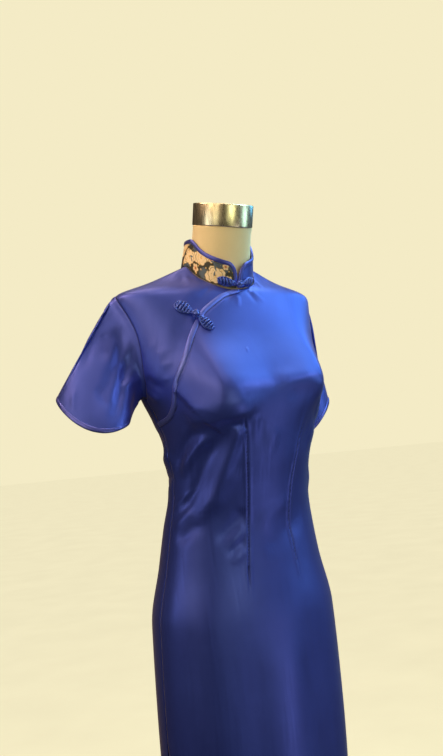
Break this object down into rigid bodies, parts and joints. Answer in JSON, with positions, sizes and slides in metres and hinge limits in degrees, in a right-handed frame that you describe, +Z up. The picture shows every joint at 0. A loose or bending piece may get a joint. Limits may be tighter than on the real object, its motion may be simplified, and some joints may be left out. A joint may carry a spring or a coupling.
{
  "type": "cheongsam dress on a dress form",
  "caption": "Short-sleeved blue satin cheongsam with a stand collar, curved side opening and knotted frogs, worn by a limbless dress form on a round-based stand.",
  "frame": {"origin": "on the floor under the pole's axis, at the centre of the base's underside", "axes": "+Z up along the pole, -Y to the front of the dress, +X to the wearer's left"},
  "size_m": [0.5652, 0.36, 1.5123],
  "materials": {
    "blue_satin": "satin",
    "blue_satin_binding": "satin",
    "blue_satin_cord": "satin",
    "flowered_brocade": "satin",
    "form_cover": "matte",
    "polished_steel": "polished",
    "stand_enamel": "satin"
  },
  "bodies": {
    "root": {"front_panel": "blue_satin", "back_panel": "blue_satin", "front_underlap": "blue_satin", "sleeve_right": "blue_satin", "sleeve_binding_right": "blue_satin_binding", "sleeve_left": "blue_satin", "sleeve_binding_left": "blue_satin_binding", "opening_binding": "blue_satin_binding", "collar_right": "flowered_brocade", "collar_binding_right": "blue_satin_binding", "collar_left": "blue_satin", "collar_binding_left": "blue_satin_binding", "frog_collar_leaf_right": "blue_satin_cord", "frog_collar_leaf_left": "blue_satin_cord", "frog_collar_knot": "blue_satin_cord", "frog_chest_leaf_upper": "blue_satin_cord", "frog_chest_leaf_lower": "blue_satin_cord", "frog_chest_knot": "blue_satin_cord", "form_body": "form_cover", "neck_cap": "polished_steel", "form_flange": "stand_enamel", "pole": "polished_steel", "base": "polished_steel", "pole_socket": "polished_steel"}
  },
  "joints": []
}
